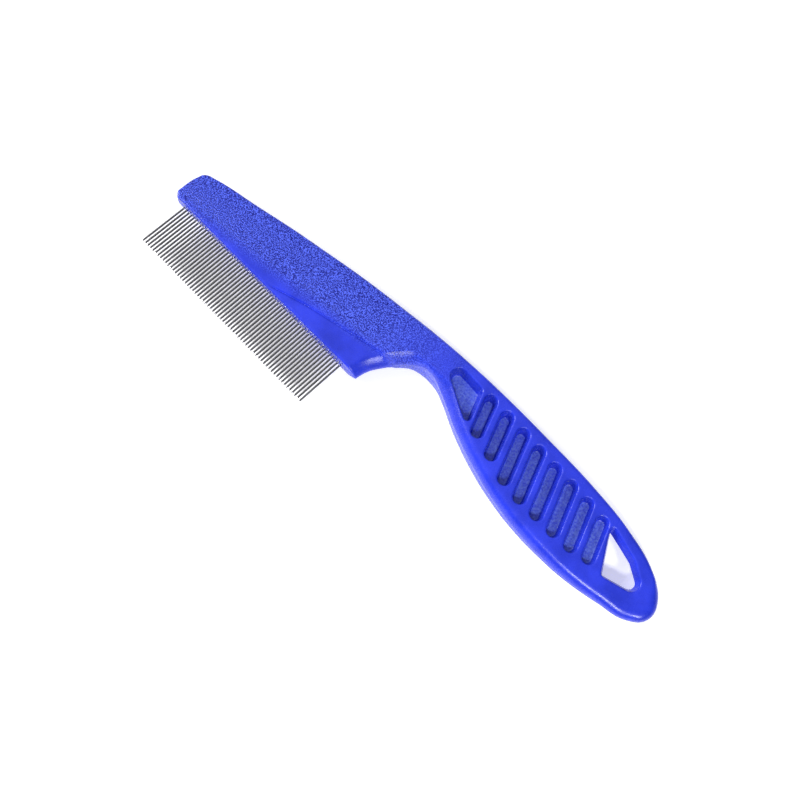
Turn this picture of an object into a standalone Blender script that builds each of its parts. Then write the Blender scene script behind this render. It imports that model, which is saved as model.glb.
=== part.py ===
"""Flea comb: a moulded plastic head, neck and slotted handle, with a row of round steel teeth.

The comb lies flat. +X runs from the tip of the head to the end of the handle, +Y from the teeth
to the spine, +Z up. The origin is at the middle of the footprint, on the surface it lies on.

Everything is drawn in the drawing frame of the mould: x = 0 near the first teeth, y = 0 near the
row of teeth, z = 0 on the parting plane, all in millimetres. The empty "comb_frame" carries that
frame to the part's origin.
"""
import math

import bmesh
import bpy

MM = 0.001

# Driving dimensions, in millimetres.
TIP_X = -6.4
END_X = 170.3
ROW_EDGE_Y = 0.2
SPINE_TOP_Y = 25.9
HEEL_X = 69.4
TIP_CHAMFER = (1.5, 1.4)
HEEL_CHAMFER = 0.65

# The land beside the heel: half-thickness where it starts, and its rise per millimetre of x.
LAND_START_X = 31.0
LAND_HALF = 2.35
LAND_RISE = 0.022
LAND_START_Y = 0.9
LAND_END_Y = 9.9
LAND_CREASE = [(68.0, 9.7), (56.0, 7.1), (45.0, 4.6)]
LAND_CUTTER_MARGIN = 4.0
LAND_CUTTER_HALF = 3.0

TOOTH_COUNT = 63
TOOTH_PITCH = 1.05
FIRST_TOOTH_X = -1.7
TOOTH_TIP_Y = -15.6
WIRE_RADIUS = 0.325
WIRE_DEPTH = 6.0
WIRE_CLEARANCE = 0.03

SLOT_COUNT = 8
SLOT_PITCH = 6.3
SLOT_TILT = math.radians(21.0)
SLOT_RADIUS = 2.05
FIRST_SLOT_TOP_X = 99.4
SLOT_ENDS_Y = [(23.5, 10.8), (23.5, 9.0), (23.3, 6.8), (23.0, 6.2),
               (22.8, 6.3), (22.6, 6.4), (22.3, 6.9), (21.6, 8.2)]
POCKET = [(89.3, 20.2, 2.6), (98.7, 13.8, 1.3), (95.4, 20.9, 1.6)]
HANG_HOLE = [(148.0, 20.2, 1.2), (153.9, 10.5, 1.3), (160.2, 13.9, 2.8), (156.5, 16.8, 2.3)]
RECESS_DRAFT = 0.7
HOLE_DRAFT = 1.0
WEB_HALF = 0.75
ABOVE_FACE = 1.0
BELOW_MIDDLE = 0.2

EDGE_SEGMENTS = 3
HEAD_ROUNDING = 0.7
SPINE_ROUNDING = 1.6
GRIP_ROUNDING = 3.0
MOST_ROUNDED = 0.85
GRIP_GROWTH = 0.3
HEEL_LENGTH = 1.0
HEEL_HEIGHT = 5.0
SPINE_GROWS_X = (20.0, 80.0)
SPINE_LINE_Y = 12.0
SPINE_LINE_SLOPE = 0.04

# Half of the thickness along the comb: a thin head, a thick neck, a thinner handle end.
HALF_THICKNESS = [(TIP_X - 2.0, 2.4), (34.5, 2.55), (51.3, 3.1), (66.0, 3.7), (74.0, 4.8),
                  (82.0, 5.4), (92.0, 5.4), (110.0, 5.0), (130.0, 4.3), (146.0, 3.4),
                  (160.0, 2.5), (END_X + 2.0, 2.0)]
MAX_HALF = 5.4

PLASTIC_BLUE = (0.045, 0.07, 0.62, 1.0)
STEEL_GREY = (0.62, 0.62, 0.63, 1.0)


def clear_scene():
    for old in list(bpy.data.objects):
        bpy.data.objects.remove(old, do_unlink=True)


def make_collection(name):
    collection = bpy.data.collections.new(name)
    bpy.context.scene.collection.children.link(collection)
    return collection


def make_material(name, colour, roughness, metallic):
    material = bpy.data.materials.new(name)
    material.use_nodes = True
    shader = material.node_tree.nodes["Principled BSDF"]
    shader.inputs["Base Color"].default_value = colour
    shader.inputs["Roughness"].default_value = roughness
    shader.inputs["Metallic"].default_value = metallic
    material.diffuse_color = colour
    return material


def half_thickness(x):
    """Half of the body's thickness at x, between the stations of HALF_THICKNESS."""
    for (x0, h0), (x1, h1) in zip(HALF_THICKNESS, HALF_THICKNESS[1:]):
        if x <= x1:
            return h0 + (h1 - h0) * (x - x0) / (x1 - x0)
    return HALF_THICKNESS[-1][1]


def outline_knots():
    """The body's plan outline, anticlockwise from the tip: (x, y, "AUTO" or "VECTOR")."""
    across, along = TIP_CHAMFER
    row_edge = [(TIP_X, ROW_EDGE_Y + along, "VECTOR"), (TIP_X + across, ROW_EDGE_Y, "VECTOR"),
                (HEEL_X - HEEL_CHAMFER, ROW_EDGE_Y, "VECTOR"),
                (HEEL_X, ROW_EDGE_Y + HEEL_CHAMFER, "VECTOR")]
    notch = [(70.0, 4.0), (71.4, 6.8), (74.4, 11.0), (77.5, 14.0), (80.2, 15.3), (83.0, 15.6),
             (86.0, 15.1), (90.0, 13.5)]
    grip = [(99.6, 9.0), (109.8, 5.4), (120.0, 2.9), (130.0, 1.6), (138.0, 1.4), (147.0, 1.9),
            (158.0, 3.9)]
    end = [(166.2, 6.1), (END_X, 10.6), (168.8, 16.2), (162.4, 20.7)]
    spine = [(151.0, 23.9), (137.0, 25.4), (118.0, 25.9), (99.0, SPINE_TOP_Y), (82.0, 25.2),
             (60.0, 23.8), (30.0, 19.1), (12.0, 15.3)]
    tip = [(-2.0, 12.2), (-5.0, 10.9), (TIP_X + 0.5, 8.6)]
    smooth = [(x, y, "AUTO") for x, y in notch + grip + end + spine + tip]
    return row_edge + smooth


def curve_object(name, collection, knots, half_depth, resolution=4):
    """A flat outline with round stretches, filled on both sides and extruded."""
    curve = bpy.data.curves.new(name, "CURVE")
    curve.dimensions = "2D"
    curve.fill_mode = "BOTH"
    curve.extrude = half_depth * MM
    curve.resolution_u = resolution
    spline = curve.splines.new("BEZIER")
    spline.bezier_points.add(len(knots) - 1)
    spline.use_cyclic_u = True
    for knot, (x, y, kind) in zip(spline.bezier_points, knots):
        knot.co = (x * MM, y * MM, 0.0)
        knot.handle_left_type = kind
        knot.handle_right_type = kind
    thing = bpy.data.objects.new(name, curve)
    collection.objects.link(thing)
    return thing


def to_mesh(thing, collection):
    """The same shape as a welded mesh object, in place of the curve."""
    bpy.context.view_layer.update()
    evaluated = thing.evaluated_get(bpy.context.evaluated_depsgraph_get())
    mesh = bpy.data.meshes.new_from_object(evaluated)
    name = thing.name
    bm = bmesh.new()
    bm.from_mesh(mesh)
    bmesh.ops.remove_doubles(bm, verts=bm.verts, dist=0.002 * MM)
    bmesh.ops.recalc_face_normals(bm, faces=bm.faces)
    bm.to_mesh(mesh)
    bm.free()
    solid = bpy.data.objects.new(name, mesh)
    collection.objects.link(solid)
    solid.matrix_world = thing.matrix_world
    bpy.data.objects.remove(thing, do_unlink=True)
    solid.name = name
    return solid


def rounded_outline(circles, steps=5):
    """The outline around circles (x, y, radius), given anticlockwise, as a list of points."""
    normals = []
    for (x0, y0, r0), (x1, y1, r1) in zip(circles, circles[1:] + circles[:1]):
        along = math.atan2(y1 - y0, x1 - x0)
        normals.append(along - math.acos((r0 - r1) / math.hypot(x1 - x0, y1 - y0)))
    points = []
    for index, (x, y, radius) in enumerate(circles):
        start = normals[index - 1]
        sweep = (normals[index] - start) % (2.0 * math.pi)
        for step in range(steps + 1):
            angle = start + sweep * step / steps
            points.append((x + radius * math.cos(angle), y + radius * math.sin(angle)))
    return points


def drafted_cutter(name, collection, circles, low, draft):
    """A cutter round circles as they are at the upper face, narrower by draft at z = low."""
    centre_x = sum(x for x, _, _ in circles) / len(circles)
    face = half_thickness(centre_x)
    high = MAX_HALF + ABOVE_FACE
    flare = draft * (high - face) / (face - low)
    top = rounded_outline([(x, y, radius + flare) for x, y, radius in circles])
    bottom = rounded_outline([(x, y, radius - draft) for x, y, radius in circles])
    bm = bmesh.new()
    rings = []
    for points, z in ((bottom, low), (top, high)):
        rings.append([bm.verts.new((x * MM, y * MM, z * MM)) for x, y in points])
    bm.faces.new(rings[0][::-1])
    bm.faces.new(rings[1])
    bmesh.ops.bridge_loops(bm, edges=[edge for edge in bm.edges])
    bmesh.ops.recalc_face_normals(bm, faces=bm.faces)
    mesh = bpy.data.meshes.new(name)
    bm.to_mesh(mesh)
    bm.free()
    cutter = bpy.data.objects.new(name, mesh)
    collection.objects.link(cutter)
    return cutter


def mirrored_below(cutter, collection):
    """The same cutter for the underside, mirrored in the parting plane."""
    mesh = cutter.data.copy()
    bm = bmesh.new()
    bm.from_mesh(mesh)
    for vertex in bm.verts:
        vertex.co.z = -vertex.co.z
    bmesh.ops.reverse_faces(bm, faces=bm.faces)
    bm.to_mesh(mesh)
    bm.free()
    below = bpy.data.objects.new(cutter.name + "_below", mesh)
    collection.objects.link(below)
    return below


def cut(body, cutter):
    boolean = body.modifiers.new(cutter.name, "BOOLEAN")
    boolean.operation = "DIFFERENCE"
    boolean.object = cutter
    cutter.hide_render = True
    cutter.display_type = "WIRE"


def edge_rounding(x, y):
    """Radius of the body's edge: small round the head, larger along the spine and the grip."""
    past_heel = x - HEEL_X - HEEL_LENGTH
    above_heel = y - HEEL_HEIGHT
    if past_heel < 0.0 and above_heel < 0.0:
        return HEAD_ROUNDING
    if y > SPINE_LINE_Y + SPINE_LINE_SLOPE * x:
        grown = min(1.0, max(0.0, (x - SPINE_GROWS_X[0]) / (SPINE_GROWS_X[1] - SPINE_GROWS_X[0])))
        return HEAD_ROUNDING + (SPINE_ROUNDING - HEAD_ROUNDING) * grown
    if x < 0.0:
        return HEAD_ROUNDING
    return min(GRIP_ROUNDING, HEAD_ROUNDING + GRIP_GROWTH * (above_heel + past_heel))


def outline_points(collection):
    """The plan outline as points, in millimetres, anticlockwise."""
    curve = curve_object("outline", collection, outline_knots(), 0.0)
    curve.data.fill_mode = "NONE"
    bpy.context.view_layer.update()
    line = curve.evaluated_get(bpy.context.evaluated_depsgraph_get()).to_mesh()
    points = [(vertex.co.x / MM, vertex.co.y / MM) for vertex in line.vertices]
    bpy.data.objects.remove(curve, do_unlink=True)
    return points


def blank_ring(points, lift):
    """One level of the blank's edge: the outline moved inwards as the edge rounds over."""
    ring = []
    for index, (x, y) in enumerate(points):
        x0, y0 = points[index - 1]
        x1, y1 = points[(index + 1) % len(points)]
        length = math.hypot(x1 - x0, y1 - y0)
        radius = edge_rounding(x, y)
        inset = radius * (1.0 - math.cos(lift))
        drop = min(radius / half_thickness(x), MOST_ROUNDED) * (1.0 - math.sin(lift))
        ring.append((x - inset * (y1 - y0) / length, y + inset * (x1 - x0) / length,
                     MAX_HALF * (1.0 - drop)))
    return ring


def make_blank(collection):
    """The body before its recesses: rings lofted over the rounded edge, then the taper."""
    points = outline_points(collection)
    lifts = [0.5 * math.pi * step / EDGE_SEGMENTS for step in range(EDGE_SEGMENTS + 1)]
    upper = [blank_ring(points, lift) for lift in lifts]
    lower = [[(x, y, -z) for x, y, z in ring] for ring in upper]
    bm = bmesh.new()
    rings = []
    for ring in lower[::-1] + upper:
        rings.append([bm.verts.new((x * MM, y * MM, z * MM)) for x, y, z in ring])
    for below, above in zip(rings, rings[1:]):
        for index in range(len(points)):
            after = (index + 1) % len(points)
            bm.faces.new((below[index], below[after], above[after], above[index]))
    bm.faces.new(rings[0][::-1])
    bm.faces.new(rings[-1])
    for x, _ in HALF_THICKNESS[1:-1]:
        geometry = bm.verts[:] + bm.edges[:] + bm.faces[:]
        bmesh.ops.bisect_plane(bm, geom=geometry, plane_co=(x * MM, 0.0, 0.0),
                               plane_no=(1.0, 0.0, 0.0), dist=0.01 * MM)
    for vertex in bm.verts:
        vertex.co.z *= half_thickness(vertex.co.x / MM) / MAX_HALF
    mesh = bpy.data.meshes.new("comb_body")
    bm.to_mesh(mesh)
    bm.free()
    body = bpy.data.objects.new("comb_body", mesh)
    collection.objects.link(body)
    return body


def slot_circles(index):
    """The two end circles of a slot at the face, in the handle's slanted row."""
    top_y, bottom_y = SLOT_ENDS_Y[index]
    top_x = FIRST_SLOT_TOP_X + index * SLOT_PITCH
    lean = math.tan(SLOT_TILT)
    high_y = top_y - SLOT_RADIUS
    low_y = bottom_y + SLOT_RADIUS
    high_x = top_x + SLOT_RADIUS * lean
    return [(high_x, high_y, SLOT_RADIUS), (high_x + (high_y - low_y) * lean, low_y, SLOT_RADIUS)]


def make_recess_cutters(collection):
    """The pocket behind the neck and the slots: blind on both faces, with a web between them."""
    outlines = {"pocket": POCKET}
    for index in range(SLOT_COUNT):
        outlines["slot_%d" % (index + 1)] = slot_circles(index)
    cutters = []
    for name, circles in outlines.items():
        above = drafted_cutter(name, collection, circles, WEB_HALF, RECESS_DRAFT)
        cutters += [above, mirrored_below(above, collection)]
    return cutters


def make_hang_hole_cutters(collection):
    """The triangular hole through the end of the handle, drafted from both faces."""
    above = drafted_cutter("hang_hole", collection, HANG_HOLE, -BELOW_MIDDLE, HOLE_DRAFT)
    return [above, mirrored_below(above, collection)]


def make_land_cutters(collection):
    """The triangular land beside the heel, a small step below the rising face of the head."""
    beyond_x = HEEL_X + LAND_CUTTER_MARGIN
    below_y = ROW_EDGE_Y - LAND_CUTTER_MARGIN
    knots = [(LAND_START_X, LAND_START_Y, "VECTOR"), (LAND_START_X, below_y, "VECTOR"),
             (beyond_x, below_y, "VECTOR"), (beyond_x, LAND_END_Y, "VECTOR")]
    knots += [(x, y, "AUTO") for x, y in LAND_CREASE]
    curve = curve_object("heel_land", collection, knots, LAND_CUTTER_HALF)
    above = to_mesh(curve, collection)
    for vertex in above.data.vertices:
        rise = LAND_RISE * (vertex.co.x - LAND_START_X * MM)
        vertex.co.z += (LAND_HALF + LAND_CUTTER_HALF) * MM + rise
    return [above, mirrored_below(above, collection)]


def tooth_x(index):
    return FIRST_TOOTH_X + index * TOOTH_PITCH


def wire_points(first, count):
    """Points (x, y, radius factor) of one wire: a straight tooth, or two joined by a bend."""
    straight_top = ROW_EDGE_Y + WIRE_DEPTH
    leg = [(TOOTH_TIP_Y, 0.4), (TOOTH_TIP_Y + 0.12, 0.8), (TOOTH_TIP_Y + 0.32, 1.0),
           (straight_top, 1.0)]
    points = [(tooth_x(first), y, factor) for y, factor in leg]
    if count == 2:
        half_pitch = TOOTH_PITCH / 2.0
        for step in (1, 2, 3):
            angle = math.pi * (1.0 - step / 4.0)
            points.append((tooth_x(first) + half_pitch * (1.0 + math.cos(angle)),
                           straight_top + half_pitch * math.sin(angle), 1.0))
        points += [(tooth_x(first + 1), y, factor) for y, factor in reversed(leg)]
    return points


def make_wire(name, collection, points, radius):
    """A round wire along points, as a curve with filled caps."""
    curve = bpy.data.curves.new(name, "CURVE")
    curve.dimensions = "3D"
    curve.bevel_depth = radius * MM
    curve.bevel_resolution = 2
    curve.use_fill_caps = True
    spline = curve.splines.new("POLY")
    spline.points.add(len(points) - 1)
    for knot, (x, y, factor) in zip(spline.points, points):
        knot.co = (x * MM, y * MM, 0.0, 1.0)
        knot.radius = factor
    spline.use_smooth = True
    wire = bpy.data.objects.new(name, curve)
    collection.objects.link(wire)
    return wire


def make_teeth(collection, cutters):
    """Bent wires of two teeth each, and one straight wire at the heel; returns wires and bores."""
    wires = []
    bores = []
    for first in range(0, TOOTH_COUNT, 2):
        count = min(2, TOOTH_COUNT - first)
        name = "tooth_pair_%02d" % (first // 2 + 1) if count == 2 else "tooth_end"
        points = wire_points(first, count)
        wires.append(make_wire(name, collection, points, WIRE_RADIUS))
        bore_points = [(x, y, 1.0) for x, y, factor in points]
        if count == 1:
            x, y, factor = bore_points[-1]
            bore_points[-1] = (x, y + WIRE_CLEARANCE, factor)
        bore = make_wire(name + "_bore", cutters, bore_points, WIRE_RADIUS + WIRE_CLEARANCE)
        bores.append(to_mesh(bore, cutters))
    return wires, bores


def main():
    clear_scene()
    parts = make_collection("flea_comb")
    cutters = make_collection("cutters")
    blue = make_material("blue moulded plastic", PLASTIC_BLUE, 0.38, 0.0)
    steel = make_material("steel wire", STEEL_GREY, 0.28, 1.0)

    body = make_blank(parts)
    wires, bores = make_teeth(parts, cutters)
    tools = make_land_cutters(cutters) + make_recess_cutters(cutters)
    tools += make_hang_hole_cutters(cutters) + bores
    for tool in tools:
        cut(body, tool)
    body.data.materials.append(blue)
    body.data.shade_smooth()
    body.data.set_sharp_from_angle(angle=math.radians(35.0))
    for wire in wires:
        wire.data.materials.append(steel)

    comb_frame = bpy.data.objects.new("comb_frame", None)
    parts.objects.link(comb_frame)
    comb_frame.location = (-(TIP_X + END_X) / 2.0 * MM, -(TOOTH_TIP_Y + SPINE_TOP_Y) / 2.0 * MM,
                           MAX_HALF * MM)
    for thing in [body] + wires + tools:
        thing.parent = comb_frame


main()
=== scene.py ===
"""Looks of the flea comb: a fine mesh of the moulded body, round steel teeth, floor and light.

The body is one smooth solid written as a formula: how far a point is inside or outside the
moulding. A net of faces is laid over its surface, so every rounded edge, drafted recess and
parting line is real geometry. All shapes are in millimetres in the mould's drawing frame
(x = 0 near the first teeth, y = 0 near the row, z = 0 on the parting plane).
"""
import math

import bmesh
import bpy
import numpy as np
from mathutils import Matrix, Vector


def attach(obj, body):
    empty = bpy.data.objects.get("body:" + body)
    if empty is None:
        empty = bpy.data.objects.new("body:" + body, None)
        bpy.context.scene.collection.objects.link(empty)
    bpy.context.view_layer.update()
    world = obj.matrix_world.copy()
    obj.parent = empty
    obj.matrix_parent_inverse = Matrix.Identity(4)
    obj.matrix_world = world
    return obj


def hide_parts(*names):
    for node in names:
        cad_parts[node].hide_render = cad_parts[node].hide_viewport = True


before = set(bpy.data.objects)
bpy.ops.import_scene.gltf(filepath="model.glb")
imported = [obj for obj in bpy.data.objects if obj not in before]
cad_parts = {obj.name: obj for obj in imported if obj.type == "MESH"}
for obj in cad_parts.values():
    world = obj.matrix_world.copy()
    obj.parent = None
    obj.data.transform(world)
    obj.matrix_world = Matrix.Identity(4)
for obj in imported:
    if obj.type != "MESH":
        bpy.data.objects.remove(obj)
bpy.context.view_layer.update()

MM = 0.001

# The mould's drawing, as in the CAD model.
TIP_X = -6.4
END_X = 170.3
ROW_EDGE_Y = 0.2
SPINE_TOP_Y = 25.9
HEEL_X = 69.4
TIP_CHAMFER = (1.5, 1.4)
HEEL_CHAMFER = (0.1, 0.6)
TOOTH_COUNT = 63
TOOTH_PITCH = 1.05
FIRST_TOOTH_X = -1.7
TOOTH_TIP_Y = -15.6
WIRE_RADIUS = 0.325
WIRE_DEPTH = 6.0
HALF_THICKNESS = [(TIP_X - 2.0, 2.4), (34.5, 2.55), (51.3, 3.1), (66.0, 3.7), (74.0, 4.8),
                  (82.0, 5.4), (92.0, 5.4), (110.0, 5.0), (130.0, 4.3), (146.0, 3.4),
                  (160.0, 2.5), (END_X + 2.0, 2.0)]
MAX_HALF = 5.4
LAND_START_X = 31.0
LAND_HALF = 2.35
LAND_RISE = 0.022
WEB_HALF = 0.75
SLOT_PITCH = 6.3
SLOT_TILT = math.radians(21.0)
SLOT_RADIUS = 2.05
FIRST_SLOT_TOP_X = 99.4
SLOT_ENDS_Y = [(23.5, 10.8), (23.5, 9.0), (23.3, 6.8), (23.0, 6.2),
               (22.8, 6.3), (22.6, 6.4), (22.3, 6.9), (21.6, 8.2)]
POCKET = [(89.3, 20.2, 2.6), (98.7, 13.8, 1.3), (95.4, 20.9, 1.6)]
HANG_HOLE = [(148.0, 20.2, 1.2), (153.9, 10.5, 1.3), (160.2, 13.9, 2.8), (156.5, 16.8, 2.3)]
RECESS_DRAFT = 0.7
HOLE_DRAFT = 1.0

# The plan outline runs on to here below the row of teeth, leaning in by HEEL_LEAN at the heel.
BELOW_ROW_Y = -6.0
HEEL_LEAN = 0.6
OUTLINE_STEPS = 10

# The line between the head and the land, as (x, y) stations.
LAND_CREASE = [(TIP_X, -9.0), (LAND_START_X, 0.4), (38.0, 2.5), (45.0, 4.6), (56.0, 7.1),
               (62.0, 8.5), (68.0, 9.6), (74.0, 10.2), (76.0, -9.0)]

# How the edges round over: on the head, and after a ramp along x on the spine and the grip.
HEAD_ROUNDING = 0.7
SPINE_ROUNDING = 1.3
SPINE_RAMP = (20.0, 80.0)
GRIP_ROUNDING = 3.4
GRIP_RAMP = (20.0, 40.0)
MOST_ROUNDED = 0.85
# The outline is on the spine's side where y is past this, at a slope with x.
SPINE_SIDE = (10.5, 13.5)
SPINE_SIDE_SLOPE = 0.04
# A power of 2 rounds an edge to a quarter circle; a lower one leaves it crisper.
ROUND_POWER = 2.0
CRISPNESS = 0.75
CRISP_RAMP = (115.0, 88.0)
CORNER_ROUNDING = 0.4
RIM_ROUNDING = 0.35
FLOOR_FILLET = 0.3

# The head's face falls away on both sides of its middle line, and is flat after CROWN_END.
HEAD_CROWN = 0.35
CROWN_LINE_Y = 5.5
CROWN_LINE_SLOPE = 0.09
CROWN_REACH = 9.0
CROWN_LIMIT = 2.0
CROWN_END = 85.0
CROWN_FADE = 25.0
# The step down to the land, softer near the outline, and the groove along it.
LAND_FILLET = 0.18
LAND_FILLET_GROWTH = 5.0
LAND_FILLET_EDGE = (-GRIP_ROUNDING, -0.3 * GRIP_ROUNDING)
CREASE_DEPTH = 0.45
CREASE_WIDTH = 0.25
CREASE_RAMP = (LAND_START_X, 36.0)
CREASE_INSET = (-1.5, -3.5)
# The raised parting line.
SEAM_HEIGHT = 0.06
SEAM_WIDTH = 0.13

# The thickness profile is sampled along x, and its corners are smoothed by a bell curve.
PROFILE_STEP = 0.5
PROFILE_MARGIN = 4.0
BELL_WIDTH = 5.0
BELL_REACH = 12

# The grid that the body's surface is found on, finest near the parting plane.
GRID_STEP = 0.3
GRID_MARGIN = (1.0, 1.5)
SEAM_LEVELS = [0.0, 0.07, 0.14, 0.22, 0.34, 0.5, 0.68]
LEVEL_STEP = 0.85
LEVEL_OFFSET = 0.011
SLOT_NEIGHBOURS = 2.5
DRAFT_BEYOND = -0.3
SLOPE_REACH = 0.01
LEAST_SLOPE = 0.05
FAR = 1.0e3

# The wires' meshes.
TIP_RINGS = 4
TIP_FLAT = 0.12
LEG_STATIONS = (0.35, 0.7, 1.0)
BEND_RINGS = 6
WIRE_SIDES = 14

# The mould's drawing frame, placed where the CAD body is.
ORIGIN = Vector((-(TIP_X + END_X) / 2.0 * MM, -(TOOTH_TIP_Y + SPINE_TOP_Y) / 2.0 * MM,
                 MAX_HALF * MM))

# Plastic. Scales are noise cells in a metre; the two colours of a pair are blended by noise.
PLASTIC_SPECULAR = 0.5
PLASTIC_ROUGHNESS = (0.22, 0.32)
GLOSS_SCALE = 700.0
TINT_SCALE = 160.0
TINTS = ((0.012, 0.028, 0.50, 1.0), (0.022, 0.044, 0.70, 1.0))
GRAIN_SCALE = 3100.0
GRAIN_ROUGHNESS = 0.6
# The grain's colours are painted shade on its dark pits and painted glints on its light flecks.
GRAIN_SHADE_AND_GLINT_CONTRAST = (0.465, 0.575)
GRAIN_SHADE_AND_GLINT_COLOURS = ((0.001, 0.005, 0.22, 1.0), (0.09, 0.148, 0.97, 1.0))
# Where the part of the head with grain and painted glints begins and ends, in metres in the part's
# frame.
GRAIN_LEAN = 0.13
GRAIN_FROM = (0.0040, 0.0080)
GRAIN_UNTIL = (-0.02, 0.012)
# The recess floors are the faces near the web's level that face up or down.
FLOOR_LEVELS = ((WEB_HALF + 0.1) * MM, (WEB_HALF + 0.35) * MM)
FLOOR_FACING = (0.75, 0.92)
# The matt frost on the floors is painted lighter: a painted sheen of light reflected off the
# floors.
FROST_AND_SHEEN_SCALE = 1900.0
FROST_AND_SHEEN_CONTRAST = (0.35, 0.65)
FROST_AND_SHEEN_AMOUNT = (0.25, 1.0)
FROST_AND_SHEEN_COLOUR = (0.13, 0.20, 0.72, 1.0)
WAVE_SCALE = 240.0
BUMP_HEIGHT = 0.12 * MM
BUMP_STRENGTH = (0.25, 0.9)
# Noise stays mostly between these values.
NOISE_RANGE = (0.3, 0.7)

# Steel, with noise stretched into fine lines along the teeth.
STEEL_LINES = (9000.0, 250.0, 9000.0)
STEEL_ROUGHNESS = (0.12, 0.22)
STEEL_TINTS = ((0.24, 0.24, 0.26, 1.0), (0.38, 0.38, 0.40, 1.0))

# The floor.
FLOOR_SIZE = 6.0
FLOOR_COLOUR = (0.9, 0.9, 0.9, 1.0)
FLOOR_ROUGHNESS = 0.6
FLOOR_SPECULAR = 0.2
FLOOR_GLOW = 0.42

# The camera, in the part's frame.
CAMERA_LOCATION = Vector((0.0416, -0.0737, 0.2656))
CAMERA_VIEW = Vector((-0.1517, 0.2686, -0.9511))
CAMERA_UP = Vector((-0.6993, 0.6506, 0.2957))
CAMERA_LENS = 44.52
CAMERA_SENSOR = 36.0
CAMERA_CLIP = 0.01

# Area lamps that face the part: name, place, width and power.
LAMPS = [("key", (-1.4, -0.6, 1.0), 0.9, 33.0),
         ("front", (0.5, -0.6, 0.95), 0.12, 6.0),
         ("side", (0.95, -0.35, 0.85), 0.12, 5.0)]
# The sky brightens towards SKY_MIDDLE, and again in a band along the horizon.
WHITE = (1.0, 1.0, 1.0, 1.0)
SKY_MIDDLE = (-0.47, 0.10, 0.88)
SKY_REACH = (0.45, 0.95)
SKY_DIM = 0.02
SKY_BRIGHT = 0.55
HORIZON_BAND = (0.14, 0.26)
HORIZON_BRIGHT = 0.85


# ---------------------------------------------------------------- the body's formula

def outline_points():
    """The body's plan outline, anticlockwise, as points on a smooth closed curve.

    It runs on below the row of teeth; row_distance() cuts it off there.
    """
    row_edge = [(TIP_X, ROW_EDGE_Y + TIP_CHAMFER[1], "VECTOR"),
                (TIP_X, BELOW_ROW_Y, "VECTOR"),
                (HEEL_X - HEEL_LEAN, BELOW_ROW_Y, "VECTOR"),
                (HEEL_X - HEEL_CHAMFER[0], ROW_EDGE_Y + HEEL_CHAMFER[1], "VECTOR")]
    notch = [(70.0, 4.0), (71.4, 6.8), (74.4, 11.0), (77.5, 14.0), (80.2, 15.3), (83.0, 15.6),
             (86.0, 15.1), (90.0, 13.5)]
    grip = [(99.6, 9.0), (109.8, 5.4), (120.0, 2.9), (130.0, 1.6), (138.0, 1.4), (147.0, 1.9),
            (158.0, 3.9)]
    end = [(166.2, 6.1), (END_X, 10.6), (168.8, 16.2), (162.4, 20.7)]
    spine = [(151.0, 23.9), (137.0, 25.4), (118.0, 25.9), (99.0, SPINE_TOP_Y), (82.0, 25.2),
             (60.0, 23.8), (30.0, 19.1), (12.0, 15.3)]
    tip = [(-2.0, 12.2), (-5.0, 10.9), (TIP_X + 0.5, 8.6)]
    knots = row_edge + [(x, y, "AUTO") for x, y in notch + grip + end + spine + tip]
    curve = bpy.data.curves.new("outline", "CURVE")
    curve.dimensions = "2D"
    curve.fill_mode = "NONE"
    curve.resolution_u = OUTLINE_STEPS
    spline = curve.splines.new("BEZIER")
    spline.bezier_points.add(len(knots) - 1)
    spline.use_cyclic_u = True
    for knot, (x, y, kind) in zip(spline.bezier_points, knots):
        knot.co = (x, y, 0.0)
        knot.handle_left_type = kind
        knot.handle_right_type = kind
    guide = bpy.data.objects.new("outline", curve)
    bpy.context.scene.collection.objects.link(guide)
    bpy.context.view_layer.update()
    line = guide.evaluated_get(bpy.context.evaluated_depsgraph_get()).to_mesh()
    points = np.array([vertex.co[:2] for vertex in line.vertices])
    bpy.data.objects.remove(guide, do_unlink=True)
    return points


def row_distance(x, y):
    """Distance below the straight edge that holds the teeth, and its chamfer at the tip."""
    below = ROW_EDGE_Y - y
    across, along = TIP_CHAMFER
    beyond = (across * (ROW_EDGE_Y - y) + along * (TIP_X + across - x)) / math.hypot(across, along)
    return np.maximum(below, beyond)


def edge_rounding(x, y):
    """How far the body's edge rounds over, at points of the outline."""
    spine_side = HEAD_ROUNDING + (SPINE_ROUNDING - HEAD_ROUNDING) * smooth_ramp(x, *SPINE_RAMP)
    grip_side = HEAD_ROUNDING + (GRIP_ROUNDING - HEAD_ROUNDING) * smooth_ramp(x, *GRIP_RAMP)
    on_spine = smooth_ramp(y - SPINE_SIDE_SLOPE * x, *SPINE_SIDE)
    return grip_side + (spine_side - grip_side) * on_spine


def smooth_ramp(value, low, high):
    """0 at low and 1 at high, with no corner between; low may be the larger of the two."""
    part = np.clip((value - low) / (high - low), 0.0, 1.0)
    return part * part * (3.0 - 2.0 * part)


def smooth_max(a, b, width):
    """The larger of two fields, with the corner between them rounded over width."""
    part = np.clip(0.5 + 0.5 * (a - b) / width, 0.0, 1.0)
    return b + (a - b) * part + width * part * (1.0 - part)


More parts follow.
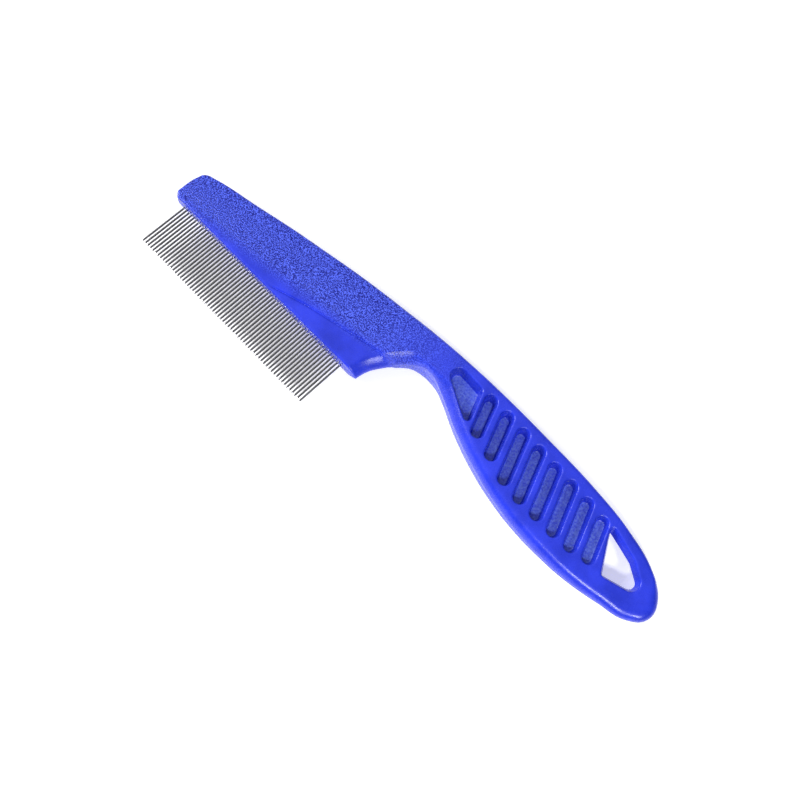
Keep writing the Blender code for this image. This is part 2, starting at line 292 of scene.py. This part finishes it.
def segments_distance(x, y, points):
    """Distance to a closed line of points (negative inside), and the nearest segment."""
    nearest = np.full(x.shape, FAR)
    index = np.zeros(x.shape, dtype=np.int32)
    inside = np.zeros(x.shape, dtype=bool)
    for number, ((x0, y0), (x1, y1)) in enumerate(zip(points, np.roll(points, -1, axis=0))):
        dx, dy = x1 - x0, y1 - y0
        along = np.clip(((x - x0) * dx + (y - y0) * dy) / (dx * dx + dy * dy), 0.0, 1.0)
        distance = np.hypot(x - x0 - along * dx, y - y0 - along * dy)
        closer = distance < nearest
        nearest = np.where(closer, distance, nearest)
        index = np.where(closer, number, index)
        if y0 != y1:
            crosses = (y0 > y) != (y1 > y)
            inside ^= crosses & (x < x0 + (y - y0) * dx / dy)
    return np.where(inside, -nearest, nearest), index


def circles_distance(x, y, circles):
    """Signed distance to the outline around circles (x, y, radius), given anticlockwise."""
    points = rounded_outline(circles)
    return segments_distance(x, y, points)[0]


def rounded_outline(circles, steps=12):
    """Points along the tight outline around circles (x, y, radius), given anticlockwise."""
    normals = []
    for (x0, y0, r0), (x1, y1, r1) in zip(circles, circles[1:] + circles[:1]):
        along = math.atan2(y1 - y0, x1 - x0)
        normals.append(along - math.acos((r0 - r1) / math.hypot(x1 - x0, y1 - y0)))
    points = []
    for index, (x, y, radius) in enumerate(circles):
        start = normals[index - 1]
        sweep = (normals[index] - start) % (2.0 * math.pi)
        for step in range(steps + 1):
            angle = start + sweep * step / steps
            points.append((x + radius * math.cos(angle), y + radius * math.sin(angle)))
    return np.array(points)


def rounded_edge(edge, inset, height, level, power):
    """A plate of half-thickness height, whose edge rounds over from inset to the outline."""
    drop = np.minimum(inset, MOST_ROUNDED * height)
    beside = np.maximum(edge + inset, 0.0) / inset
    above = np.maximum(level - height + drop, 0.0) / drop
    reach = (beside ** power + above ** power + 1.0e-12) ** (1.0 / power)
    return (reach - 1.0) * np.minimum(inset, drop)


class Moulding:
    """The moulded body as one formula, and the plan fields that it is made of."""

    def __init__(self):
        self.outline = outline_points()
        middle_x = (self.outline[:, 0] + np.roll(self.outline[:, 0], -1)) / 2.0
        middle_y = (self.outline[:, 1] + np.roll(self.outline[:, 1], -1)) / 2.0
        self.rounding = edge_rounding(middle_x, middle_y)
        self.profile_x = np.arange(TIP_X - PROFILE_MARGIN, END_X + PROFILE_MARGIN, PROFILE_STEP)
        stations, halves = np.array(HALF_THICKNESS).T
        profile = np.interp(self.profile_x, stations, halves)
        bell = np.exp(-0.5 * (np.arange(-BELL_REACH, BELL_REACH + 1) / BELL_WIDTH) ** 2)
        padded = np.pad(profile, BELL_REACH, mode="edge")
        self.profile = np.convolve(padded, bell / bell.sum(), mode="valid")

    def slot_circles(self, index):
        """The two circles at the ends of a slanted slot."""
        top_y, bottom_y = SLOT_ENDS_Y[index]
        lean = math.tan(SLOT_TILT)
        high_y = top_y - SLOT_RADIUS
        low_y = bottom_y + SLOT_RADIUS
        high_x = FIRST_SLOT_TOP_X + index * SLOT_PITCH + SLOT_RADIUS * lean
        return [(high_x, high_y, SLOT_RADIUS),
                (high_x + (high_y - low_y) * lean, low_y, SLOT_RADIUS)]

    def face_height(self, x, y, edge):
        """Height of the upper face over the parting plane: crowned head, lower heel land."""
        height = np.interp(x, self.profile_x, self.profile)
        across = (y - (CROWN_LINE_Y + CROWN_LINE_SLOPE * x)) / CROWN_REACH
        crown = HEAD_CROWN * np.clip(across * across, 0.0, CROWN_LIMIT)
        height = height - crown * smooth_ramp(CROWN_END - x, 0.0, CROWN_FADE)
        crease = np.interp(x, *np.array(LAND_CREASE).T)
        fillet = LAND_FILLET * (1.0 + LAND_FILLET_GROWTH * smooth_ramp(edge, *LAND_FILLET_EDGE))
        on_land = smooth_ramp((crease - y) / fillet, -1.0, 1.0)
        land = np.minimum(height, LAND_HALF + LAND_RISE * (x - LAND_START_X))
        beside = (y - crease) / CREASE_WIDTH
        groove = CREASE_DEPTH * np.exp(-beside * beside) * smooth_ramp(x, *CREASE_RAMP)
        return height + (land - height) * on_land - groove * smooth_ramp(edge, *CREASE_INSET)

    def plan(self, x, y):
        """Everything that depends on x and y alone."""
        edge, nearest = segments_distance(x, y, self.outline)
        rounding = self.rounding[nearest]
        crisp = np.clip((rounding - HEAD_ROUNDING) / (GRIP_ROUNDING - HEAD_ROUNDING), 0.0, 1.0)
        crisp = crisp * smooth_ramp(x, *CRISP_RAMP)
        fields = {"edge": edge + SEAM_HEIGHT,
                  "round": rounding,
                  "power": ROUND_POWER - CRISPNESS * crisp,
                  "height": self.face_height(x, y, edge),
                  "row": row_distance(x, y)}
        recesses = circles_distance(x, y, POCKET)
        for index in range(len(SLOT_ENDS_Y)):
            circles = self.slot_circles(index)
            middle = (circles[0][0] + circles[1][0]) / 2.0
            near = np.abs(x - middle) < SLOT_NEIGHBOURS * SLOT_PITCH
            slot = np.full(x.shape, FAR)
            slot[near] = circles_distance(x[near], y[near], circles)
            recesses = np.minimum(recesses, slot)
        fields["recess"] = recesses
        fields["hole"] = circles_distance(x, y, HANG_HOLE)
        return fields

    def value(self, fields, z):
        """Below zero inside the moulding, above zero outside it."""
        height = fields["height"]
        level = np.abs(z)
        solid = rounded_edge(fields["edge"], fields["round"], height, level, fields["power"])
        row = rounded_edge(fields["row"], HEAD_ROUNDING, height, level, ROUND_POWER)
        solid = smooth_max(solid, row, CORNER_ROUNDING)
        depth = np.clip((height - level) / (height - WEB_HALF), DRAFT_BEYOND, 1.0)
        recess = fields["recess"] + RECESS_DRAFT * depth
        recess = smooth_max(recess, WEB_HALF - level, FLOOR_FILLET)
        hole = fields["hole"] + HOLE_DRAFT * np.clip(1.0 - level / height, DRAFT_BEYOND, 1.0)
        solid = smooth_max(solid, -recess, RIM_ROUNDING)
        solid = smooth_max(solid, -hole, RIM_ROUNDING)
        return solid - SEAM_HEIGHT * np.exp(-(z / SEAM_WIDTH) ** 2)

    def at(self, points):
        """The formula's value at each of a list of points."""
        return self.value(self.plan(points[:, 0], points[:, 1]), points[:, 2])


def along_axis(axis):
    """Indices of all grid points but the last along an axis, and of the ones after them."""
    here = [slice(None)] * 3
    after = [slice(None)] * 3
    here[axis] = slice(0, -1)
    after[axis] = slice(1, None)
    return tuple(here), tuple(after)


def net_corners(values, axes):
    """One corner in each grid cell that the zero surface passes through, and its number."""
    inside = values < 0.0
    shape = tuple(count - 1 for count in values.shape)
    total = np.zeros(shape + (3,))
    count = np.zeros(shape)
    for axis in range(3):
        here, after = along_axis(axis)
        crossing = inside[here] != inside[after]
        where = np.argwhere(crossing)
        low = values[here][crossing]
        high = values[after][crossing]
        place = np.stack([axes[k][where[:, k]] for k in range(3)], axis=1)
        step = axes[axis][where[:, axis] + 1] - axes[axis][where[:, axis]]
        place[:, axis] += low / (low - high) * step
        others = [k for k in range(3) if k != axis]
        for back_a in (0, 1):
            for back_b in (0, 1):
                cell = where.copy()
                cell[:, others[0]] -= back_a
                cell[:, others[1]] -= back_b
                keep = (cell >= 0).all(axis=1) & (cell < np.array(shape)).all(axis=1)
                index = tuple(cell[keep].T)
                np.add.at(total, index, place[keep])
                np.add.at(count, index, 1.0)
    used = count > 0
    number = np.full(shape, -1, dtype=np.int64)
    number[used] = np.arange(used.sum())
    return total[used] / count[used][:, None], number


def net_faces(values, number):
    """A four-sided face across each grid edge that the zero surface cuts, facing outwards."""
    inside = values < 0.0
    faces = []
    for axis in range(3):
        here, after = along_axis(axis)
        crossing = inside[here] != inside[after]
        where = np.argwhere(crossing)
        a, b = [(1, 2), (2, 0), (0, 1)][axis]
        ring = []
        for back_a, back_b in ((1, 1), (0, 1), (0, 0), (1, 0)):
            cell = where.copy()
            cell[:, a] -= back_a
            cell[:, b] -= back_b
            ring.append(number[tuple(cell.T)])
        ring = np.stack(ring, axis=1)
        outwards = inside[here][crossing]
        faces.append(np.where(outwards[:, None], ring, ring[:, ::-1]))
    return np.concatenate(faces)


def settle(moulding, points, rounds=3):
    """Moves points along the formula's slope until they lie on its zero surface."""
    for _ in range(rounds):
        fields = moulding.plan(points[:, 0], points[:, 1])
        value = moulding.value(fields, points[:, 2])
        slope = np.empty_like(points)
        for axis in range(2):
            moved = points.copy()
            moved[:, axis] += SLOPE_REACH
            slope[:, axis] = (moulding.at(moved) - value) / SLOPE_REACH
        raised = moulding.value(fields, points[:, 2] + SLOPE_REACH)
        slope[:, 2] = (raised - value) / SLOPE_REACH
        size = np.maximum((slope ** 2).sum(axis=1), LEAST_SLOPE)
        step = np.clip(value / size, -0.5 * GRID_STEP, 0.5 * GRID_STEP)
        points = points - slope * step[:, None]
    return points


def level_steps():
    """Grid levels: fine near the parting plane, where the seam is, coarser above."""
    levels = list(SEAM_LEVELS)
    while levels[-1] < MAX_HALF + 2.0 * GRID_STEP:
        levels.append(levels[-1] + GRID_STEP * LEVEL_STEP)
    return np.array([-z for z in levels[:0:-1]] + levels) + LEVEL_OFFSET


def add_piece(mesh, material):
    """A smooth-shaded object of the mesh's name, in the scene."""
    mesh.shade_smooth()
    mesh.materials.append(material)
    piece = bpy.data.objects.new(mesh.name, mesh)
    bpy.context.scene.collection.objects.link(piece)
    return piece


def mesh_from_net(name, corners, faces):
    mesh = bpy.data.meshes.new(name)
    mesh.vertices.add(len(corners))
    mesh.vertices.foreach_set("co", np.asarray(corners, dtype=np.float32).ravel())
    mesh.loops.add(faces.size)
    mesh.loops.foreach_set("vertex_index", faces.ravel().astype(np.int32))
    mesh.polygons.add(len(faces))
    mesh.polygons.foreach_set("loop_start", np.arange(0, faces.size, 4, dtype=np.int32))
    mesh.update(calc_edges=True)
    mesh.validate()
    return mesh


def to_part(points):
    """From the drawing frame in millimetres to the part's frame in metres."""
    return np.asarray(points) * MM + np.array(ORIGIN)


def make_body(material):
    """The whole moulding as one net over the zero surface of its formula."""
    moulding = Moulding()
    before, after = GRID_MARGIN
    xs = np.arange(TIP_X - before, END_X + after, GRID_STEP)
    ys = np.arange(ROW_EDGE_Y - before, SPINE_TOP_Y + after, GRID_STEP)
    zs = level_steps()
    plan_x, plan_y = np.meshgrid(xs, ys, indexing="ij")
    fields = moulding.plan(plan_x, plan_y)
    fields = {name: field[:, :, None] for name, field in fields.items()}
    values = moulding.value(fields, zs[None, None, :])
    corners, number = net_corners(values, (xs, ys, zs))
    corners = settle(moulding, corners)
    mesh = mesh_from_net("moulded_body", to_part(corners), net_faces(values, number))
    body = add_piece(mesh, material)
    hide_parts("comb_body")
    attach(body, "root")


# ---------------------------------------------------------------- the teeth

def tooth_x(index):
    return FIRST_TOOTH_X + index * TOOTH_PITCH


def wire_path(first, count):
    """Centre line (x, y) and radius of one wire: a straight tooth, or two joined by a bend."""
    tip = []
    for step in range(TIP_RINGS + 1):
        angle = 0.5 * math.pi * step / TIP_RINGS
        radius = WIRE_RADIUS * max(math.sin(angle), TIP_FLAT)
        tip.append((TOOTH_TIP_Y + WIRE_RADIUS * (1.0 - math.cos(angle)), radius))
    top = ROW_EDGE_Y + WIRE_DEPTH
    leg = tip + [(TOOTH_TIP_Y + (top - TOOTH_TIP_Y) * part, WIRE_RADIUS) for part in LEG_STATIONS]
    path = [(tooth_x(first), y, radius) for y, radius in leg]
    if count == 2:
        half = TOOTH_PITCH / 2.0
        for step in range(1, BEND_RINGS):
            angle = math.pi * (1.0 - step / BEND_RINGS)
            path.append((tooth_x(first) + half * (1.0 + math.cos(angle)),
                         top + half * math.sin(angle), WIRE_RADIUS))
        path += [(tooth_x(first + 1), y, radius) for y, radius in reversed(leg)]
    return np.array(path)


def make_wire(name, path, material):
    """A round wire swept along its path, closed at both ends."""
    forward = np.gradient(path[:, :2], axis=0)
    forward /= np.linalg.norm(forward, axis=1)[:, None]
    angles = np.linspace(0.0, 2.0 * math.pi, WIRE_SIDES, endpoint=False)
    rings = []
    for (x, y, radius), (fx, fy) in zip(path, forward):
        side = radius * np.cos(angles)
        rings.append(np.stack([x - fy * side, y + fx * side, radius * np.sin(angles)], axis=1))
    bm = bmesh.new()
    loops = [[bm.verts.new(to_part(corner)) for corner in ring] for ring in rings]
    for here, after in zip(loops, loops[1:]):
        for side in range(WIRE_SIDES):
            turn = (side + 1) % WIRE_SIDES
            bm.faces.new((here[side], here[turn], after[turn], after[side]))
    bm.faces.new(loops[0][::-1])
    bm.faces.new(loops[-1])
    bmesh.ops.recalc_face_normals(bm, faces=bm.faces)
    mesh = bpy.data.meshes.new(name)
    bm.to_mesh(mesh)
    bm.free()
    return add_piece(mesh, material)


def make_teeth(material):
    """Every wire of the row: bent ones with two teeth each, and a straight one at the end."""
    for first in range(0, TOOTH_COUNT, 2):
        count = min(2, TOOTH_COUNT - first)
        node = "tooth_pair_%02d" % (first // 2 + 1) if count == 2 else "tooth_end"
        piece = make_wire(node + "_wire", wire_path(first, count), material)
        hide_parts(node)
        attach(piece, "root")


# ---------------------------------------------------------------- materials

def new_material(name):
    """A material with nodes, its node tree and its shader."""
    material = bpy.data.materials.new(name)
    material.use_nodes = True
    return material, material.node_tree, material.node_tree.nodes["Principled BSDF"]


def node(tree, kind, **settings):
    made = tree.nodes.new(kind)
    for name, value in settings.items():
        setattr(made, name, value)
    return made


def plug(tree, value, socket):
    """Links an output to a socket, or sets the socket to a number, vector or colour."""
    if isinstance(value, bpy.types.NodeSocket):
        tree.links.new(value, socket)
    else:
        socket.default_value = value


def arithmetic(tree, operation, *values):
    made = node(tree, "ShaderNodeMath", operation=operation)
    for value, socket in zip(values, made.inputs):
        plug(tree, value, socket)
    return made.outputs["Value"]


def separate(tree, vector):
    made = node(tree, "ShaderNodeSeparateXYZ")
    tree.links.new(vector, made.inputs["Vector"])
    return made.outputs["X"], made.outputs["Y"], made.outputs["Z"]


def noise(tree, place, scale, detail=2.0, roughness=0.5):
    made = node(tree, "ShaderNodeTexNoise")
    made.inputs["Scale"].default_value = scale
    made.inputs["Detail"].default_value = detail
    made.inputs["Roughness"].default_value = roughness
    tree.links.new(place, made.inputs["Vector"])
    return made.outputs["Fac"]


def ramp(tree, source, low, high, out_low, out_high):
    made = node(tree, "ShaderNodeMapRange")
    made.inputs["From Min"].default_value = low
    made.inputs["From Max"].default_value = high
    made.inputs["To Min"].default_value = out_low
    made.inputs["To Max"].default_value = out_high
    tree.links.new(source, made.inputs["Value"])
    return made.outputs["Result"]


def blend(tree, factor, first, second):
    made = node(tree, "ShaderNodeMix", data_type="RGBA")
    plug(tree, factor, made.inputs["Factor"])
    plug(tree, first, made.inputs["A"])
    plug(tree, second, made.inputs["B"])
    return made.outputs["Result"]


def grain_and_glint_mask(tree, x, y):
    """1 on the part of the head with grain and painted glints, fading out towards the row of teeth
    and the neck.
    """
    across = arithmetic(tree, "MULTIPLY_ADD", x, -GRAIN_LEAN, y)
    above_row = ramp(tree, across, *GRAIN_FROM, 0.0, 1.0)
    before_neck = ramp(tree, x, *GRAIN_UNTIL, 1.0, 0.0)
    return arithmetic(tree, "MULTIPLY", above_row, before_neck)


def floor_mask(tree, z, normal):
    """1 on the flat floors of the recesses and 0 everywhere else."""
    level = arithmetic(tree, "SUBTRACT", z, MAX_HALF * MM)
    low = ramp(tree, arithmetic(tree, "ABSOLUTE", level), *FLOOR_LEVELS, 1.0, 0.0)
    facing = arithmetic(tree, "ABSOLUTE", separate(tree, normal)[2])
    flat = ramp(tree, facing, *FLOOR_FACING, 0.0, 1.0)
    return arithmetic(tree, "MULTIPLY", low, flat)


def plastic_material():
    """Blue moulded plastic: spark-eroded grain on the head with painted glints and painted shade
    in its colour, and matt floors in the recesses painted lighter with a painted sheen.
    """
    material, tree, shader = new_material("blue moulded plastic")
    shader.inputs["Specular IOR Level"].default_value = PLASTIC_SPECULAR
    coordinates = node(tree, "ShaderNodeTexCoord")
    place = coordinates.outputs["Object"]
    x, y, z = separate(tree, place)
    grain_and_glint_area = grain_and_glint_mask(tree, x, y)
    floors = floor_mask(tree, z, coordinates.outputs["Normal"])
    grain = noise(tree, place, GRAIN_SCALE, roughness=GRAIN_ROUGHNESS)

    patches = ramp(tree, noise(tree, place, TINT_SCALE, detail=3.0), *NOISE_RANGE, 0.0, 1.0)
    smooth = blend(tree, patches, *TINTS)
    # Painted glints and painted shade: light flecks and dark pits in the grain's colour.
    grain_shade_and_glints = blend(tree, ramp(tree, grain, *GRAIN_SHADE_AND_GLINT_CONTRAST, 0.0, 1.0), *GRAIN_SHADE_AND_GLINT_COLOURS)
    moulded = blend(tree, grain_and_glint_area, smooth, grain_shade_and_glints)
    # Painted sheen: a lighter frosted colour on the recess floors.
    frost_and_sheen = ramp(tree, noise(tree, place, FROST_AND_SHEEN_SCALE, detail=3.0), *FROST_AND_SHEEN_CONTRAST, *FROST_AND_SHEEN_AMOUNT)
    frost_and_sheen_on_floors = arithmetic(tree, "MULTIPLY", frost_and_sheen, floors)
    tree.links.new(blend(tree, frost_and_sheen_on_floors, moulded, FROST_AND_SHEEN_COLOUR), shader.inputs["Base Color"])

    gloss = ramp(tree, noise(tree, place, GLOSS_SCALE), *NOISE_RANGE, *PLASTIC_ROUGHNESS)
    tree.links.new(gloss, shader.inputs["Roughness"])

    bump = node(tree, "ShaderNodeBump")
    bump.inputs["Distance"].default_value = BUMP_HEIGHT
    textured = arithmetic(tree, "MAXIMUM", grain_and_glint_area, floors)
    tree.links.new(ramp(tree, textured, 0.0, 1.0, *BUMP_STRENGTH), bump.inputs["Strength"])
    height = arithmetic(tree, "ADD", grain, noise(tree, place, WAVE_SCALE))
    tree.links.new(height, bump.inputs["Height"])
    tree.links.new(bump.outputs["Normal"], shader.inputs["Normal"])
    return material


def steel_material():
    """Bright drawn wire, with fine lines along each tooth."""
    material, tree, shader = new_material("drawn steel wire")
    shader.inputs["Metallic"].default_value = 1.0
    stretch = node(tree, "ShaderNodeMapping")
    stretch.inputs["Scale"].default_value = STEEL_LINES
    place = node(tree, "ShaderNodeTexCoord").outputs["Object"]
    tree.links.new(place, stretch.inputs["Vector"])
    lines = noise(tree, stretch.outputs["Vector"], 1.0)
    gloss = ramp(tree, lines, *NOISE_RANGE, *STEEL_ROUGHNESS)
    tree.links.new(gloss, shader.inputs["Roughness"])
    tree.links.new(blend(tree, lines, *STEEL_TINTS), shader.inputs["Base Color"])
    return material


# ---------------------------------------------------------------- floor, light and camera

def make_floor():
    material, _, shader = new_material("pale floor")
    shader.inputs["Base Color"].default_value = FLOOR_COLOUR
    shader.inputs["Roughness"].default_value = FLOOR_ROUGHNESS
    shader.inputs["Specular IOR Level"].default_value = FLOOR_SPECULAR
    shader.inputs["Emission Color"].default_value = WHITE
    shader.inputs["Emission Strength"].default_value = FLOOR_GLOW
    bpy.ops.mesh.primitive_plane_add(size=FLOOR_SIZE, location=(0.0, 0.0, 0.0))
    floor = bpy.context.object
    floor.name = "floor"
    floor.data.materials.append(material)


def make_lamp(name, location, size, power):
    lamp = bpy.data.lights.new(name, "AREA")
    lamp.shape = "SQUARE"
    lamp.size = size
    lamp.energy = power
    holder = bpy.data.objects.new(name, lamp)
    bpy.context.scene.collection.objects.link(holder)
    holder.location = location
    holder.rotation_euler = (-Vector(location)).to_track_quat("-Z", "Y").to_euler()


def make_world():
    """A soft sky, brightest up and to the left, with a pale band along the horizon."""
    world = bpy.data.worlds.new("studio")
    bpy.context.scene.world = world
    world.use_nodes = True
    tree = world.node_tree
    direction = node(tree, "ShaderNodeTexCoord").outputs["Generated"]
    towards = node(tree, "ShaderNodeVectorMath", operation="DOT_PRODUCT")
    tree.links.new(direction, towards.inputs[0])
    towards.inputs[1].default_value = SKY_MIDDLE
    sky = ramp(tree, towards.outputs["Value"], *SKY_REACH, SKY_DIM, SKY_BRIGHT)
    horizon = ramp(tree, separate(tree, direction)[2], *HORIZON_BAND, HORIZON_BRIGHT, 0.0)
    background = tree.nodes["Background"]
    background.inputs["Color"].default_value = WHITE
    tree.links.new(arithmetic(tree, "ADD", sky, horizon), background.inputs["Strength"])


def make_camera():
    camera = bpy.data.cameras.new("camera")
    camera.sensor_width = CAMERA_SENSOR
    camera.lens = CAMERA_LENS
    camera.clip_start = CAMERA_CLIP
    holder = bpy.data.objects.new("camera", camera)
    bpy.context.scene.collection.objects.link(holder)
    side = CAMERA_VIEW.cross(CAMERA_UP).normalized()
    up = side.cross(CAMERA_VIEW).normalized()
    turn = Matrix((side, up, -CAMERA_VIEW.normalized())).transposed()
    holder.matrix_world = Matrix.Translation(CAMERA_LOCATION) @ turn.to_4x4()
    bpy.context.scene.camera = holder


def main():
    bpy.context.scene.view_settings.view_transform = "Standard"
    make_camera()
    make_world()
    make_floor()
    for lamp in LAMPS:
        make_lamp(*lamp)
    make_body(plastic_material())
    make_teeth(steel_material())


main()
